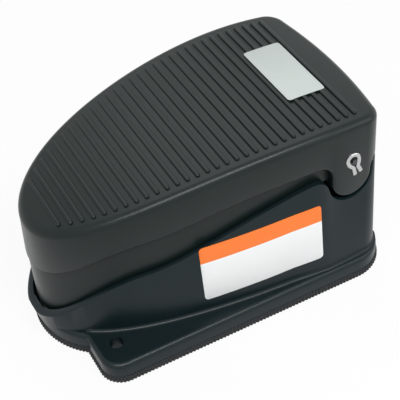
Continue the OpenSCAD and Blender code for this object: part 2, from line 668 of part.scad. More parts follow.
// Where the three terminals pass through the case
module slot_box(x0, x1, z0, z1, grow) translate([x0 - grow, -terminal_w / 2 - grow, z0 - grow])
    cube([x1 - x0 + 2 * grow, terminal_w + 2 * grow, z1 - z0 + 2 * grow]);
common_riser_x = anchor_x - terminal_t;
open_riser_x = sw_left + sw_l - notch_l + terminal_t;
closed_z = blade_z + blade_t + 2 * contact_t + move_gap;
notch_z = sw_z + notch_h;
closed_end_x = sw_left + sw_l + notch_l;
screw_x = [sw_left + 0.35 * notch_l, sw_left + sw_l - 0.35 * notch_l, closed_end_x - 0.45 * notch_l];
module terminal_slots(grow) {
    slot_box(common_riser_x, common_riser_x + terminal_t, notch_z, floor_z + over, grow);
    slot_box(open_riser_x, open_riser_x + terminal_t, notch_z, floor_z + over, grow);
    slot_box(sw_left + sw_l - case_wall - over, closed_end_x, closed_z, closed_z + terminal_t, grow);
    for (x = [screw_x[0], screw_x[1]])
        post(x, 0, notch_z - over, notch_z + terminal_screw_l, terminal_screw_d + 2 * grow);
}
module terminal_foot(x0, x) difference() {
    slot_box(x0, x0 + notch_l - 2 * seat_fit, notch_z - terminal_t, notch_z - seat_fit, 0);
    post(x, 0, sw_z, floor_z, terminal_screw_d + 2 * seat_fit);
}
module common_terminal() color(brass) placed() {
    terminal_foot(sw_left, screw_x[0]);
    slot_box(common_riser_x, common_riser_x + terminal_t, notch_z - terminal_t, blade_z - move_gap, 0);
}
module open_terminal() color(brass) placed() {
    terminal_foot(sw_left + sw_l - notch_l + 2 * seat_fit, screw_x[1]);
    slot_box(open_riser_x, open_riser_x + terminal_t, notch_z - terminal_t, open_z + terminal_t, 0);
    slot_box(contact_x - contact_d / 2, open_riser_x + terminal_t, open_z, open_z + terminal_t, 0);
    post(contact_x, 0, open_z + terminal_t, open_z + terminal_t + contact_t, contact_d);
}
module closed_terminal() color(brass) placed() {
    difference() {
        slot_box(contact_x - contact_d / 2, closed_end_x, closed_z, closed_z + terminal_t, 0);
        post(screw_x[2], 0, closed_z - over, closed_z + terminal_t + over, terminal_screw_d + 2 * seat_fit);
    }
    post(contact_x, 0, closed_z - contact_t, closed_z, contact_d);
}
module terminal_screws() color(brass) placed() {
    for (x = [screw_x[0], screw_x[1]]) translate([x, 0, notch_z - terminal_t - seat_fit]) rotate([180, 0, 0])
        screw(terminal_screw_d, terminal_screw_l);
    translate([screw_x[2], 0, closed_z + terminal_t + seat_fit]) screw(terminal_screw_d, terminal_screw_l);
}
module contact_blade() color(brass) placed() {
    translate([anchor_x - terminal_t, -terminal_w / 3, blade_z])
        cube([contact_x - anchor_x + terminal_t, 2 * terminal_w / 3, blade_t]);
    post(contact_x, 0, blade_z - contact_t, blade_z + blade_t + contact_t, contact_d);
}
lever_low = lever_t / 2 / cos(lever_rise);
plunger_top = pivot_z + (plunger_arm - stem_d / 2) * tan(lever_rise) - lever_low - move_gap;
module switch_plunger() color(nylon) placed() {
    post(plunger_x, 0, blade_z + blade_t + move_gap, plunger_top, stem_d);
    post(plunger_x, 0, blade_z + blade_t + 4 * move_gap, sw_top - case_wall - move_gap, 2 * stem_d);
}

// Lever with its roller: drawn flat from its pivot, then raised
module on_lever() placed() translate([pivot_x, 0, pivot_z]) rotate([0, lever_rise, 0]) children();
cheek_t = (lever_w - roller_w) / 2 - move_gap;
module switch_lever() color(steel) on_lever() difference() {
    union() {
        rod_y(barrel_d, 0, 0, -lever_w / 2, lever_w / 2);
        translate([-lever_l - roller_d / 4, -lever_w / 2, -lever_t / 2])
            cube([lever_l + roller_d / 4, lever_w, lever_t]);
        both_sides() along_y(lever_w / 2 - cheek_t, lever_w / 2) {
            translate([-lever_l, roller_up]) circle(d = 2.4 * lever_pin_d);
            translate([-lever_l - 1.2 * lever_pin_d, 0]) square([2.4 * lever_pin_d, roller_up]);
        }
    }
    rod_y(lever_pin_d + 2 * run_fit, 0, 0, -lever_w, lever_w);
    rod_y(lever_pin_d + 2 * seat_fit, -lever_l, roller_up, -lever_w, lever_w);
    roller_window();
}
// The lever is cut away under the roller
module roller_window() translate([-lever_l - roller_d / 2, -roller_w / 2 - move_gap, -lever_t])
    cube([roller_d, roller_w + 2 * move_gap, 2 * lever_t]);
module lever_pin() color(steel) placed()
    rod_y(lever_pin_d, pivot_x, pivot_z, case_y0 + seat_fit, sw_t / 2 - seat_fit);
module lever_roller() color(nylon) on_lever() difference() {
    rod_y(roller_d, -lever_l, roller_up, -roller_w / 2, roller_w / 2);
    rod_y(lever_pin_d + 2 * run_fit, -lever_l, roller_up, -roller_w, roller_w);
}
module roller_pin() color(steel) on_lever() {
    rod_y(lever_pin_d, -lever_l, roller_up, -lever_w / 2 - move_gap, lever_w / 2 + move_gap);
    both_sides()
        rod_y(1.7 * lever_pin_d, -lever_l, roller_up, lever_w / 2 + seat_fit, lever_w / 2 + 2 * move_gap);
}

// Striker screw over the roller, locked by its nut under the pedal's boss
striker_x = pivot_x - lever_l * cos(lever_rise) + roller_up * sin(lever_rise);
striker_tip_z = pivot_z + lever_l * sin(lever_rise) + roller_up * cos(lever_rise) + roller_d / 2 + move_gap;
striker_nut_z = striker_tip_z + striker_d / 2;
nut_t = 0.8 * striker_d;
module striker_screw() color(steel) placed()
    post(striker_x, 0, striker_tip_z, striker_nut_z + nut_t + 2 * striker_d, striker_d);
module hex_nut(d, t, bore) linear_extrude(t) difference() {
    circle(d = d, $fn = 6);
    circle(d = bore);
}
module striker_nut() color(steel) placed() translate([striker_x, 0, striker_nut_z])
    hex_nut(1.85 * striker_d, nut_t - seat_fit, striker_d + 2 * seat_fit);

// Bracket and the screws that hold the switch to it
module switch_bracket() color(steel) placed() difference() {
    union() {
        translate([sw_x - bracket_l / 2, sw_t / 2 + seat_fit, plate_t])
            cube([bracket_l, bracket_t, bracket_h]);
        translate([sw_x - bracket_l / 2, sw_t / 2 + seat_fit, plate_t])
            cube([bracket_l, foot_y - sw_t / 2 + 1.6 * bracket_screw_d, bracket_t]);
    }
    sw_holes(sw_screw_d + 2 * seat_fit);
    for (x = foot_x) post(x, foot_y, 0, 2 * sw_h, bracket_screw_d + 2 * seat_fit);
}
module bracket_screws() color(steel) placed() for (x = foot_x)
    translate([x, foot_y, plate_t + bracket_t + seat_fit]) screw(bracket_screw_d, bracket_t + plate_t);
nut_y = sw_t / 2 + seat_fit + bracket_t + seat_fit;
sw_nut_t = 0.8 * sw_screw_d;
module switch_screws() color(steel) placed() for (side = [-1, 1])
    translate([sw_x + side * sw_pitch / 2, -sw_t / 2 - seat_fit, sw_hole_z]) rotate([90, 0, 0])
        screw(sw_screw_d, sw_t / 2 + nut_y + 2 * sw_nut_t);
module switch_nuts() color(steel) placed() for (side = [-1, 1])
    translate([sw_x + side * sw_pitch / 2, nut_y, sw_hole_z]) rotate([-90, 0, 0])
        hex_nut(1.85 * sw_screw_d, sw_nut_t, sw_screw_d + 2 * seat_fit);

pedal();
hinge_pin();
pin_clips();
hinge_bushes();
base_housing();
rubber_pad();
bottom_plate();
plate_screws();
inlet_bushing();
ground_screw();
return_spring();
spring_guide();
stop_bumpers();
striker_screw();
striker_nut();
switch_bracket();
bracket_screws();
switch_case();
switch_cover();
switch_screws();
switch_nuts();
common_terminal();
closed_terminal();
open_terminal();
terminal_screws();
contact_blade();
switch_plunger();
switch_lever();
lever_pin();
lever_roller();
roller_pin();
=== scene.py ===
import bisect
import json
import math

import bpy
from mathutils import Matrix, Vector


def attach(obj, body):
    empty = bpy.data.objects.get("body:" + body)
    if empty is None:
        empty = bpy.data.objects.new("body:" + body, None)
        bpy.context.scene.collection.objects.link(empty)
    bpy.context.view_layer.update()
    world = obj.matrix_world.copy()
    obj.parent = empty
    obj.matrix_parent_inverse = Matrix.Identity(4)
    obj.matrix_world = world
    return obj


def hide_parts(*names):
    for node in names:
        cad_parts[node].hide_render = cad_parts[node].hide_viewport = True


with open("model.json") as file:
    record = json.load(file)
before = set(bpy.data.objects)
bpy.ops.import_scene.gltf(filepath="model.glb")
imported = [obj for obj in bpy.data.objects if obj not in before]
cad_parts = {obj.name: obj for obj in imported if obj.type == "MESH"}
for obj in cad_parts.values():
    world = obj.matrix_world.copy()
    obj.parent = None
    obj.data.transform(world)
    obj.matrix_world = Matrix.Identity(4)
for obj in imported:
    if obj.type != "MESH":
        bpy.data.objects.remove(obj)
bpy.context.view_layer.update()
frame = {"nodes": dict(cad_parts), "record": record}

bpy.ops.object.select_all(action="DESELECT")
print("frame loaded:", len(frame["nodes"]), "nodes")

# Sizes are in millimetres: x from the pedal's nose, z over the pad's top
place = {"mm": 0.001, "noseX": -67.0, "padTop": 3.0}


def spot(x, y, z):
    return Vector(((x + place["noseX"]) * place["mm"], y * place["mm"], (z + place["padTop"]) * place["mm"]))


def clamp(value):
    return min(max(value, 0), 1)


def direction(before, after):
    run, rise = after[0] - before[0], after[1] - before[1]
    size = math.hypot(run, rise)
    return run / size, rise / size


def pick(*pieces):
    bpy.ops.object.select_all(action="DESELECT")
    for piece in pieces:
        piece.select_set(True)
    bpy.context.view_layer.objects.active = pieces[0]


def title(piece, name):
    piece.name = name
    piece.data.name = name
    return piece


def settle(piece):
    pick(piece)
    bpy.ops.object.transform_apply(location=True, rotation=True, scale=True)
    return piece


def joinAll(pieces, name):
    pick(*pieces)
    bpy.ops.object.join()
    return title(bpy.context.object, name)


def applyModifiers(piece):
    pick(piece)
    for modifier in list(piece.modifiers):
        bpy.ops.object.modifier_apply(modifier=modifier.name)


def bevelEdges(piece, width, segments=3):
    edge = piece.modifiers.new("edge", "BEVEL")
    edge.width = width
    edge.segments = segments
    edge.limit_method = "ANGLE"
    applyModifiers(piece)


def smoothEdges(piece, degrees):
    pick(piece)
    bpy.ops.object.shade_smooth_by_angle(angle=math.radians(degrees))
    return piece


def outwards(piece):
    pick(piece)
    bpy.ops.object.mode_set(mode="EDIT")
    bpy.ops.mesh.select_all(action="SELECT")
    bpy.ops.mesh.normals_make_consistent(inside=False)
    bpy.ops.object.mode_set(mode="OBJECT")
    return piece


def cutAway(piece, tool):
    modifier = piece.modifiers.new("cut", "BOOLEAN")
    modifier.operation = "DIFFERENCE"
    modifier.solver = "EXACT"
    modifier.object = tool
    applyModifiers(piece)
    bpy.data.objects.remove(tool)


# A loop of vertices goes from ring to ring, extruded each time, as a hand-made loft does
def loftRings(name, rings):
    bpy.ops.object.select_all(action="DESELECT")
    bpy.ops.mesh.primitive_circle_add(vertices=len(rings[0]), radius=0.05)
    piece = title(bpy.context.object, name)
    mesh = piece.data
    columns = mesh.attributes.new("column", "INT", "POINT")
    for index, point in enumerate(rings[0]):
        columns.data[index].value = index
        mesh.vertices[index].co = point
    loops = [list(range(len(rings[0])))]
    for ring in rings[1:]:
        count = len(mesh.vertices)
        bpy.ops.object.mode_set(mode="EDIT")
        bpy.ops.mesh.extrude_edges_move(TRANSFORM_OT_translate={"value": (0, 0, 0)})
        bpy.ops.object.mode_set(mode="OBJECT")
        fresh = [0] * len(ring)
        for vertex in range(count, len(mesh.vertices)):
            column = mesh.attributes["column"].data[vertex].value
            fresh[column] = vertex
            mesh.vertices[vertex].co = ring[column]
        loops.append(fresh)
    mesh.attributes.remove(mesh.attributes["column"])
    return piece, loops


def chooseVertices(piece, chosen):
    pick(piece)
    bpy.ops.object.mode_set(mode="EDIT")
    bpy.ops.mesh.select_mode(type="VERT")
    bpy.ops.mesh.select_all(action="DESELECT")
    bpy.ops.object.mode_set(mode="OBJECT")
    for index in chosen:
        piece.data.vertices[index].select = True
    bpy.ops.object.mode_set(mode="EDIT")


def bridgeVertices(piece, chosen):
    chooseVertices(piece, chosen)
    bpy.ops.mesh.bridge_edge_loops()
    bpy.ops.object.mode_set(mode="OBJECT")


def fillLoop(piece, loop):
    chooseVertices(piece, loop)
    bpy.ops.mesh.edge_face_add()
    bpy.ops.object.mode_set(mode="OBJECT")


# The two sides of a ring are bridged by strips that run straight across, and its ends filled
def bridgeAcross(piece, loop):
    half = len(loop) // 2
    bridgeVertices(piece, loop[1:half] + loop[half + 1:])
    fillLoop(piece, [loop[-1], loop[0], loop[1]])
    fillLoop(piece, loop[half - 1:half + 2])


def rod(name, start, end, radius, sides=40, bevel=0.0):
    middle, span = (start + end) / 2, end - start
    bpy.ops.object.select_all(action="DESELECT")
    bpy.ops.mesh.primitive_cylinder_add(vertices=sides, radius=radius * place["mm"], depth=span.length,
                                        location=middle)
    piece = title(bpy.context.object, name)
    piece.rotation_euler = span.to_track_quat("Z", "Y").to_euler()
    settle(piece)
    if bevel > 0:
        bevelEdges(piece, bevel * place["mm"])
    return piece


# Plan of the pedal: half its outline is a list of points along the side, round the corner and over the rear
plan = {"length": 135.0, "width": 81.2, "shares": (1.944, -2.017, 2.099, -1.083), "cornerR": 8.5,
        "rearBow": 2.7, "noseReach": 2.295, "noseBlend": 44.55, "flushFrom": 92.0, "flushRun": 16.0,
        "sideSteps": 300, "cornerDegrees": range(83, 10, -2), "rearSteps": 60,
        "cornerColumns": 6, "rearColumns": 14}


def halfWidth(x):
    u = max(x, 0) / plan["length"]
    a, b, c, d = plan["shares"]
    return math.sqrt(u) * (a + b * u + c * u ** 2 + d * u ** 3) * plan["width"] / 2


cornerX = plan["length"] - plan["rearBow"] - plan["cornerR"]
cornerY = halfWidth(cornerX) - plan["cornerR"]


def traceOutline():
    xs = [cornerX * (i / plan["sideSteps"]) ** 2 for i in range(plan["sideSteps"] + 1)]
    points = [(x, halfWidth(x)) for x in xs]
    cornerR = plan["cornerR"]
    for degrees in plan["cornerDegrees"]:
        turn = math.radians(degrees)
        points.append((cornerX + cornerR * math.cos(turn), cornerY + cornerR * math.sin(turn)))
    for i in range(plan["rearSteps"] + 1):
        k = 1 - i / plan["rearSteps"]
        points.append((plan["length"] - plan["rearBow"] * k * k, cornerY * k))
    normals = []
    for i in range(len(points)):
        before = points[i - 1] if i else (points[1][0], -points[1][1])
        after = points[i + 1] if i + 1 < len(points) else (points[-2][0], -points[-2][1])
        run, rise = direction(before, after)
        normals.append((-rise, run))
    return points, normals


# A place on the outline is s: a whole number for a point of the list, or a share of the way to the next
outline, outlineNormals = traceOutline()
lastS = len(outline) - 1
rearS = lastS - plan["rearSteps"]
outlineXs = [point[0] for point in outline[:rearS]]


def alongX(x):
    i = min(max(bisect.bisect_right(outlineXs, x) - 1, 0), len(outlineXs) - 2)
    return i + max(0.0, (x - outlineXs[i]) / (outlineXs[i + 1] - outlineXs[i]))


# A point of the outline, drawn in by inset, with the nose reaching forward as far as lean says
def layerPoint(s, inset, lean):
    i = min(int(s), lastS - 1)
    t = s - i
    x = outline[i][0] * (1 - t) + outline[i + 1][0] * t
    y = outline[i][1] * (1 - t) + outline[i + 1][1] * t
    nx = outlineNormals[i][0] * (1 - t) + outlineNormals[i + 1][0] * t
    ny = outlineNormals[i][1] * (1 - t) + outlineNormals[i + 1][1] * t
    size = math.hypot(nx, ny)
    x, y = x - inset * nx / size, y - inset * ny / size
    k = max(0, 1 - x / plan["noseBlend"]) * lean
    return x - plan["noseReach"] * k * k, y


def sideY(x, inset):
    low, high = 0.0, float(rearS - 1)
    for _ in range(30):
        middle = (low + high) / 2
        if layerPoint(middle, inset, 1)[0] < x:
            low = middle
        else:
            high = middle
    return layerPoint(low, inset, 1)[1]


# Side view: tread, lip and rim
side = {"treadNose": 55.4, "treadRear": 73.8, "crown": 9.6, "lipLow": 34.0, "lipHigh": 60.2, "rimLow": 11.5,
        "rimHigh": 53.5, "rearRim": 53.4, "rearEdge": 53.7, "pinX": 118.1, "pinZ": 58.1, "earZ": 50.0,
        "earR": 9.0, "earFrontR": 6.8, "earGap": 1.6, "rimCornerR": 5.6, "wall": 2.6, "edgeR": 3.0,
        "edgeFrom": 1.6, "lipLean": 0.55, "lipEdge": 1.1, "skirtLean": 1.4, "skirtLap": 3.0, "skirtLow": 10.9,
        "skirtIn": 5.7, "skirtOut": 3.5, "skirtEdge": 0.3, "hair": 0.01, "noseTo": 60.0, "levelFrom": 100.0,
        "curveSteps": 40, "columns": 70, "columnPower": 1.8}
lipShares = [(0, 0), (0.078, 0.153), (0.176, 0.536), (0.352, 0.651), (0.528, 0.766), (0.626, 0.996),
             (0.938, 1)]
rimShares = [(-0.02, 0), (0.058, 0.131), (0.158, 0.464), (0.334, 0.536), (0.51, 0.607), (0.648, 0.857),
             (0.991, 1)]
lipRun = side["pinX"] - side["earR"] - side["earFrontR"]
clearR = side["earR"] + side["earGap"]
rimRun = side["pinX"] - clearR - side["rimCornerR"]


def treadZ(x):
    u = x / plan["length"]
    return side["treadNose"] + (side["treadRear"] - side["treadNose"]) * u + side["crown"] * 4 * u * (1 - u)


# Two cubic curves that meet, from seven corners given as shares of the run and of the rise
def sweepCurve(shares, run, low, high):
    points = []
    for start in (0, 3):
        corners = shares[start:start + 4]
        for i in range(0 if start == 0 else 1, side["curveSteps"] + 1):
            t = i / side["curveSteps"]
            weights = ((1 - t) ** 3, 3 * t * (1 - t) ** 2, 3 * t * t * (1 - t), t ** 3)
            points.append((sum(w * corner[0] for w, corner in zip(weights, corners)) * run,
                           low + sum(w * corner[1] for w, corner in zip(weights, corners)) * (high - low)))
    return points


def heightOn(curve, x):
    for (x0, z0), (x1, z1) in zip(curve, curve[1:]):
        if x <= x1:
            return z0 + (z1 - z0) * (x - x0) / (x1 - x0)
    return curve[-1][1]


def bow(centreX, centreZ, radius, start, end, steps):
    turns = [math.radians(start + (end - start) * i / steps) for i in range(steps + 1)]
    return [(centreX + radius * math.cos(turn), centreZ + radius * math.sin(turn)) for turn in turns]


lipCurve = sweepCurve(lipShares, lipRun, side["lipLow"], side["lipHigh"])
rimCurve = sweepCurve(rimShares, rimRun, side["rimLow"], side["rimHigh"])


# Columns of a wall: where each stands in plan, its edge's height and the edge's normal in the side view
def makeColumns(profile, rearZ):
    columns = []
    for i, (x, z) in enumerate(profile):
        run, rise = direction(profile[max(i - 1, 0)], profile[min(i + 1, len(profile) - 1)])
        columns.append({"x": x, "s": alongX(x), "z": z, "nx": -rise, "nz": run})
    sideS, corner, rear = columns[-1]["s"], plan["cornerColumns"], plan["rearColumns"]
    places = [sideS + (rearS - sideS) * k / corner for k in range(1, corner + 1)]
    places += [rearS + plan["rearSteps"] * k / rear for k in range(1, rear + 1)]
    columns += [{"x": None, "s": min(s, lastS), "z": rearZ, "nx": 0, "nz": 1} for s in places]
    return columns


# The base stands out a little at the hinge's two sides, and not in front of them or at the rear
def flushShare(x, y):
    return clamp((x - plan["flushFrom"]) / plan["flushRun"]) * clamp(y / cornerY) ** 2


# Half a ring has its ends set on the middle line and is closed by its own mirror image
def closeRing(half):
    for end in (0, -1):
        half[end] = (half[end][0], 0.0, half[end][2])
    return [spot(*point) for point in half + [(x, -y, z) for x, y, z in reversed(half[1:-1])]]


def layerRing(columns, inset, lean, height, edge=0.0, flush=0.0):
    half = []
    for column in columns:
        s = column["s"]
        if edge and column["x"] is not None:
            s = alongX(column["x"] + edge * column["nx"])
        x, y = layerPoint(s, inset - flush * flushShare(*outline[int(s)]), lean)
        half.append((x, y, height(x, column) + edge * column["nz"]))
    return closeRing(half)


# Where two arcs of the lip meet, a shift keeps their points from standing at one x
columnShares = [(k / side["columns"]) ** side["columnPower"] for k in range(side["columns"] + 1)]
rearFillet = side["rearEdge"] - side["earZ"]
earArc = bow(side["pinX"], side["earZ"], side["earR"], 180, 360, 28)
rearArc = bow(side["pinX"] + side["earR"] + rearFillet, side["earZ"], rearFillet, 172, 90, 7)
lipProfile = [(lipRun * k, heightOn(lipCurve, lipRun * k)) for k in columnShares]
lipProfile += bow(lipRun, side["lipHigh"] - side["earFrontR"], side["earFrontR"], 90, 0, 10)[1:]
lipProfile += [(x + 2 * side["hair"], z) for x, z in earArc] + [(x + 3 * side["hair"], z) for x, z in rearArc]
lipColumns = makeColumns(lipProfile, side["rearEdge"])


def atLip(x, column):
    return heightOn(lipCurve, x) if x < side["noseTo"] else column["z"]


# The skirt hangs below the rim, stays over the bottom plate when pressed, and ends at the hinge
def atSkirt(x, column):
    if x > side["pinX"]:
        return atLip(x, column)
    rim = heightOn(rimCurve, x) if x < side["levelFrom"] else side["rimHigh"]
    return min(max(rim - side["skirtLap"], side["skirtLow"]), atLip(x, column))


# Pedal: one closed shell from its ceiling down the skirt, out along the lip and up over the tread
def makePedal():
    inner, outer, soft, hair = side["skirtIn"], side["skirtOut"], side["skirtEdge"], side["hair"]
    skirtLean, lipLean, lipEdge, edgeR = side["skirtLean"], side["lipLean"], side["lipEdge"], side["edgeR"]
    rings = [
        layerRing(lipColumns, inner, 1, lambda x, c: treadZ(x) - side["wall"]),
        layerRing(lipColumns, inner, skirtLean, lambda x, c: atSkirt(x, c) + soft),
        layerRing(lipColumns, inner - soft, skirtLean, atSkirt),
        layerRing(lipColumns, outer + soft, skirtLean, atSkirt),
        layerRing(lipColumns, outer, skirtLean, lambda x, c: min(atSkirt(x, c) + soft, atLip(x, c))),
        layerRing(lipColumns, outer - hair, skirtLean, lambda x, c: atLip(x, c) + hair),
    ]
    for drawnIn, raised in ((1, 0), (0.62, 0.08), (0.29, 0.29), (0.08, 0.62), (0, 1)):
        rings.append(layerRing(lipColumns, drawnIn * lipEdge, lipLean, atLip, raised * lipEdge))
    rings.append(layerRing(lipColumns, 0.0, 0, lambda x, c: treadZ(x) - side["edgeFrom"] * edgeR))
    for step in range(10):
        turn = math.radians(10 * step)
        rings.append(layerRing(lipColumns, edgeR * (1 - math.cos(turn)), 0,
                               lambda x, c, turn=turn: treadZ(x) - edgeR * (1 - math.sin(turn))))
    shell, loops = loftRings("pedalShell", rings)
    bridgeAcross(shell, loops[0])
    bridgeAcross(shell, loops[-1])
    outwards(shell)
    smoothEdges(shell, 32)
    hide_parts("pedal")
    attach(shell, "pedal")
    return shell


pedalShell = makePedal()
print("pedal shell:", len(pedalShell.data.polygons), "faces")

# Tread ribs: one bar is modelled, and each copy is stretched to its place on the tread
ribs = {"pitch": 3.75, "count": 31, "first": 9.5, "width": 1.8, "height": 0.8, "sink": 0.8, "margin": 4.9,
        "round": 0.5, "sides": 20}


def makeRibs():
    depth = ribs["height"] + ribs["sink"]
    bpy.ops.object.select_all(action="DESELECT")
    bpy.ops.mesh.primitive_cylinder_add(vertices=ribs["sides"], radius=ribs["width"] / 2, depth=depth,
                                        location=(0, 0, ribs["height"] - depth / 2),
                                        rotation=(0, 0, math.pi / ribs["sides"]))
    bar = settle(title(bpy.context.object, "ribBar"))
    bevelEdges(bar, ribs["round"])
    copies = []
    for i in range(ribs["count"]):
        x = ribs["first"] + i * ribs["pitch"]
        reach = halfWidth(x) - ribs["margin"] - ribs["width"] / 2
        slope = math.atan(treadZ(x + 0.5) - treadZ(x - 0.5))
        pick(bar)
        bpy.ops.object.duplicate()
        copy = bpy.context.object
        for vertex in copy.data.vertices:
            vertex.co.y += reach if vertex.co.y > 0 else -reach
        tilt = Matrix.Rotation(-slope, 4, "Y")
        copy.data.transform(Matrix.Translation(spot(x, 0, treadZ(x))) @ Matrix.Scale(place["mm"], 4) @ tilt)
        copies.append(copy)
    bpy.data.objects.remove(bar)
    whole = joinAll(copies, "treadRibs")
    smoothEdges(whole, 40)
    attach(whole, "pedal")
    return whole


treadRibs = makeRibs()
print("tread ribs:", ribs["count"])

# Plinth: the outline that flange and pad share
plinth = {"length": 138.0, "width": 88.4, "noseStep": 2.0, "noseR": 31.0, "earSetback": 10.3,
          "earCornerR": 9.0, "rearCornerR": 16.0, "flangeT": 6.5, "padLip": 0.6, "edgeR": 2.0, "holeX": 17.6,
          "holeY": 31.6, "holeR": 2.75, "plateT": 1.5, "noseDraw": 0.2, "arcSteps": 14}
plinthRear = plinth["length"] - plinth["noseStep"]
noseMiddle = plinth["noseR"] - plinth["noseStep"]


# Half the outline, drawn in by d: arcs for nose, ear and rear corner, with the nose led forward a little
def plinthHalf(d, steps):
    nose, earR, rearR = plinth["noseR"], plinth["earCornerR"], plinth["rearCornerR"]
    front = plinth["earSetback"] - plinth["noseStep"] + d
    reach = math.degrees(math.acos((noseMiddle - front) / (nose - d)))
    sideLine = plinth["width"] / 2
    half = (bow(noseMiddle, 0, nose - d, 180, 180 - reach, steps)
            + bow(front - d + earR, sideLine - earR, earR - d, 180, 90, steps)
            + bow(plinthRear - rearR, sideLine - rearR, rearR - d, 90, 0, steps))
    return [(x - plinth["noseDraw"] * max(0, 1 - (x + plinth["noseStep"]) / nose) ** 2, y) for x, y in half]


def plinthRing(d, z):
    half = plinthHalf(d, plinth["arcSteps"])
    half[0] = (half[0][0], 0.0)
    return [spot(x, y, z) for x, y in half] + [spot(x, -y, z) for x, y in reversed(half[1:])]


# Housing: the wall with its swept rim, flared at the foot, on a flange with two ears
housing = {"inset": 0.8, "flush": 0.8, "footFlush": 1.4, "lean": 1.5, "inner": 3.0, "innerLean": 1.5,
           "rimEdge": 0.5, "softEdge": 0.15, "wallOut": 1.9, "recessIn": 1.87, "hollowIn": 2.4,
           "hollowTop": 20.0, "rearFrom": 130.8, "rearRun": 1.6, "footR": 1.5, "footLeast": 0.02,
           "footSteps": 6, "mergeTo": 12.0, "mergeRoom": 3.2, "leastRoom": 0.3, "mergeOver": 0.03,
           "mergeLow": 0.2, "layerSide": 60, "layerRear": 8, "inletZ": 21.0, "inletX": 134.5, "inletR": 12.5,
           "inletL": 8.0, "inletEdge": 0.4, "inletSides": 64, "boreR": 10.03, "boreOver": 4.0}
rearCurve = side["rearEdge"] - side["earZ"] - side["earGap"]
rimProfile = [(rimRun * k, heightOn(rimCurve, rimRun * k)) for k in columnShares]
rimProfile += bow(rimRun, side["rimHigh"] - side["rimCornerR"], side["rimCornerR"], 90, 10, 9)[1:]
rimProfile += bow(side["pinX"], side["earZ"], clearR, 187, 350, 28)
rimProfile += bow(side["pinX"] + clearR + rearCurve, side["earZ"], rearCurve, 180, 90, 6)
rimColumns = makeColumns(rimProfile, side["rearRim"])
for rimColumn in rimColumns:
    rimColumn["away"] = direction((noseMiddle, 0), layerPoint(rimColumn["s"], housing["inset"], 1))


def atRim(x, column):
    if x < side["noseTo"]:
        return heightOn(rimCurve, x)
    if column["x"] is None:
        low = side["earZ"] + rearCurve
        rise = (side["rearRim"] - low) * max(0, x - housing["rearFrom"]) / housing["rearRun"]
        return min(side["rearRim"], low + rise)
    return column["z"]


# How far inside the flange's edge a point of the wall lies
def roomAt(x, y):
    if x < plinth["earSetback"]:
        return plinth["noseR"] - plinth["padLip"] - math.hypot(x - noseMiddle, y)
    cornerR = plinth["rearCornerR"]
    arcX, arcY = plinthRear - cornerR, plinth["width"] / 2 - cornerR
    if x > arcX and y > arcY:
        return cornerR - plinth["padLip"] - math.hypot(x - arcX, y - arcY)
    return min(plinth["width"] / 2 - y, plinthRear - x) - plinth["padLip"]


# The wall's foot flares onto the flange, and at the nose it runs down over the flange's side
def footRing(share):
    turn = math.radians(90 * share)
    mergeRoom, leastRoom = housing["mergeRoom"], housing["leastRoom"]
    half = []
    for column in rimColumns:
        inset = housing["inset"] - housing["footFlush"] * flushShare(*outline[int(column["s"])])
        x, y = layerPoint(column["s"], inset, 1)
        room = roomAt(x, y)
        merge = clamp((mergeRoom - room) / (mergeRoom - leastRoom)) if x < housing["mergeTo"] else 0
        radius = max(housing["footLeast"], min(housing["footR"], room - leastRoom) * (1 - merge))
        x, y = layerPoint(column["s"], inset - radius * (1 - math.cos(turn)), 1)
        over = (room + housing["mergeOver"]) * merge
        foot = plinth["flangeT"] * (1 - merge) + housing["mergeLow"] * merge
        half.append((x + over * column["away"][0], y + over * column["away"][1],
                     foot + radius * (1 - math.sin(turn))))
    return closeRing(half)


def makeWall():
    inset, inner, lean, innerLean = (housing[k] for k in ("inset", "inner", "lean", "innerLean"))
    edge, soft, flush, plateT = housing["rimEdge"], housing["softEdge"], housing["flush"], plinth["plateT"]
    rings = [
        layerRing(rimColumns, inner, 1, lambda x, c: plateT),
        layerRing(rimColumns, inner, innerLean, atRim, -edge),
        layerRing(rimColumns, inner - soft, innerLean, atRim, -soft),
        layerRing(rimColumns, inner - edge, innerLean, atRim),
        layerRing(rimColumns, inset + edge, lean, atRim, 0, flush),
        layerRing(rimColumns, inset + soft, lean, atRim, -soft, flush),
        layerRing(rimColumns, inset, lean, atRim, -edge, flush),
    ]
    rings += [footRing(k / housing["footSteps"]) for k in range(housing["footSteps"] + 1)]
    rings.append(layerRing(rimColumns, housing["wallOut"], 1, lambda x, c: plateT))
    wall, loops = loftRings("housingWall", rings)
    bridgeVertices(wall, loops[0] + loops[-1])
    return outwards(wall)


# A block with the pedal's outline, which hollows the flange
def makeBlock(name, inset, low, high):
    places = [(rearS - 1) * (k / housing["layerSide"]) for k in range(housing["layerSide"] + 1)]
    places += [rearS + plan["rearSteps"] * k / housing["layerRear"] for k in range(housing["layerRear"] + 1)]
    columns = [{"x": None, "s": s, "z": 0, "nx": 0, "nz": 1} for s in places]
    piece, loops = loftRings(name, [layerRing(columns, inset, 1, lambda x, c: low),
                                    layerRing(columns, inset, 1, lambda x, c: high)])
    fillLoop(piece, loops[0])
    fillLoop(piece, loops[1])
    return outwards(piece)


